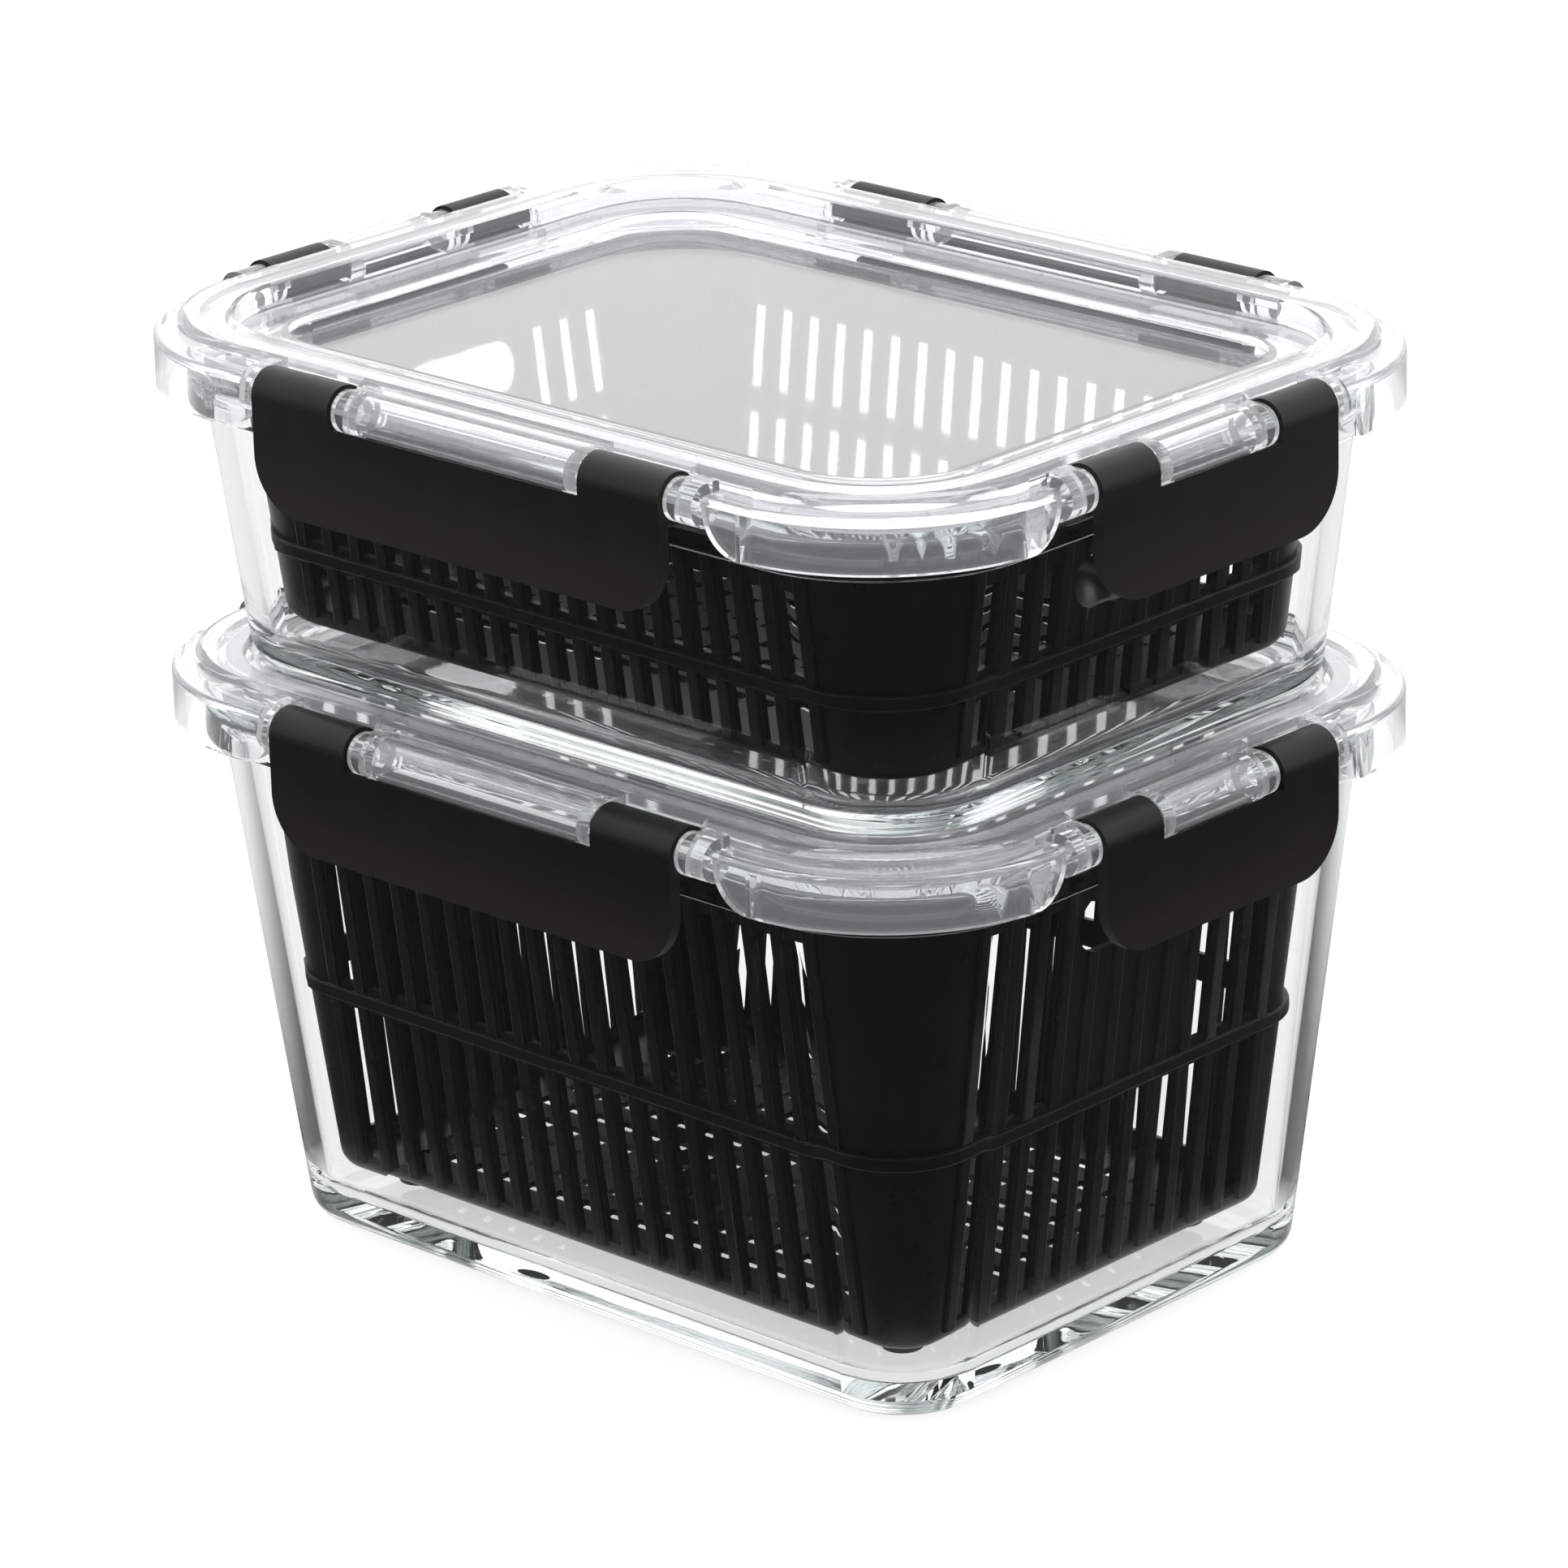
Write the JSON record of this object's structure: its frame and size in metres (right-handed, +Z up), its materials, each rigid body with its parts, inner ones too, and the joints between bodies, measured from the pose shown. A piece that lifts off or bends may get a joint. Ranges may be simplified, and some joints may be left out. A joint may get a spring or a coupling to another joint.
{
  "type": "food storage box set",
  "caption": "Shallow glass food box with strainer basket, stacked on a deep one; clear lids sealed by snap latches on every side.",
  "frame": {"origin": "under the middle of the deep dish's base, on the surface it stands on", "axes": "+X along the long side, towards the short side that faces right, +Y towards the back long side, +Z up"},
  "size_m": [0.2122, 0.165, 0.1786],
  "materials": {
    "glass": "thick clear pressed glass, polished",
    "clear_plastic": "clear rigid moulded plastic, glossy",
    "seal": "soft translucent silicone",
    "basket_black": "black moulded plastic, satin",
    "latch_black": "black moulded plastic, satin with a fine grain"
  },
  "bodies": {
    "lower_dish": {"lower_dish": "glass"},
    "lower_basket": {"lower_basket": "basket_black"},
    "lower_lid": {"lower_lid": "clear_plastic", "lower_gasket": "seal"},
    "lower_latch_front": {"lower_latch_front": "latch_black"},
    "lower_latch_back": {"lower_latch_back": "latch_black"},
    "lower_latch_right": {"lower_latch_right": "latch_black"},
    "lower_latch_left": {"lower_latch_left": "latch_black"},
    "upper_dish": {"upper_dish": "glass"},
    "upper_basket": {"upper_basket": "basket_black"},
    "upper_lid": {"upper_lid": "clear_plastic", "upper_gasket": "seal"},
    "upper_latch_front": {"upper_latch_front": "latch_black"},
    "upper_latch_back": {"upper_latch_back": "latch_black"},
    "upper_latch_right": {"upper_latch_right": "latch_black"},
    "upper_latch_left": {"upper_latch_left": "latch_black"}
  },
  "joints": [
    {"name": "lower_lid_lift", "type": "slide", "parent": "lower_dish", "child": "lower_lid", "axis": [0, 0, 1], "range_m": [0, 0.14]},
    {"name": "lower_basket_lift", "type": "slide", "parent": "lower_dish", "child": "lower_basket", "axis": [0, 0, 1], "range_m": [0, 0.112]},
    {"name": "upper_bin_lift", "type": "slide", "parent": "lower_lid", "child": "upper_dish", "axis": [0, 0, 1], "range_m": [0, 0.06]},
    {"name": "upper_lid_lift", "type": "slide", "parent": "upper_dish", "child": "upper_lid", "axis": [0, 0, 1], "range_m": [0, 0.14]},
    {"name": "upper_basket_lift", "type": "slide", "parent": "upper_dish", "child": "upper_basket", "axis": [0, 0, 1], "range_m": [0, 0.098]},
    {"name": "lower_latch_front_hinge", "type": "hinge", "parent": "lower_lid", "child": "lower_latch_front", "pos_m": [0, -0.0778, 0.1093], "axis": [-1, 0, 0], "range_deg": [0, 110]},
    {"name": "lower_latch_back_hinge", "type": "hinge", "parent": "lower_lid", "child": "lower_latch_back", "pos_m": [0, 0.0778, 0.1093], "axis": [1, 0, 0], "range_deg": [0, 110]},
    {"name": "lower_latch_right_hinge", "type": "hinge", "parent": "lower_lid", "child": "lower_latch_right", "pos_m": [0.1014, 0, 0.1093], "axis": [0, -1, 0], "range_deg": [0, 110]},
    {"name": "lower_latch_left_hinge", "type": "hinge", "parent": "lower_lid", "child": "lower_latch_left", "pos_m": [-0.1014, 0, 0.1093], "axis": [0, 1, 0], "range_deg": [0, 110]},
    {"name": "upper_latch_front_hinge", "type": "hinge", "parent": "upper_lid", "child": "upper_latch_front", "pos_m": [0, -0.0778, 0.1736], "axis": [-1, 0, 0], "range_deg": [0, 110]},
    {"name": "upper_latch_back_hinge", "type": "hinge", "parent": "upper_lid", "child": "upper_latch_back", "pos_m": [0, 0.0778, 0.1736], "axis": [1, 0, 0], "range_deg": [0, 110]},
    {"name": "upper_latch_right_hinge", "type": "hinge", "parent": "upper_lid", "child": "upper_latch_right", "pos_m": [0.1014, 0, 0.1736], "axis": [0, -1, 0], "range_deg": [0, 110]},
    {"name": "upper_latch_left_hinge", "type": "hinge", "parent": "upper_lid", "child": "upper_latch_left", "pos_m": [-0.1014, 0, 0.1736], "axis": [0, 1, 0], "range_deg": [0, 110]}
  ],
  "couplings": [
    {"joint": "lower_basket_lift", "follows": "lower_lid_lift", "ratio": 0.8},
    {"joint": "upper_basket_lift", "follows": "upper_lid_lift", "ratio": 0.7}
  ]
}
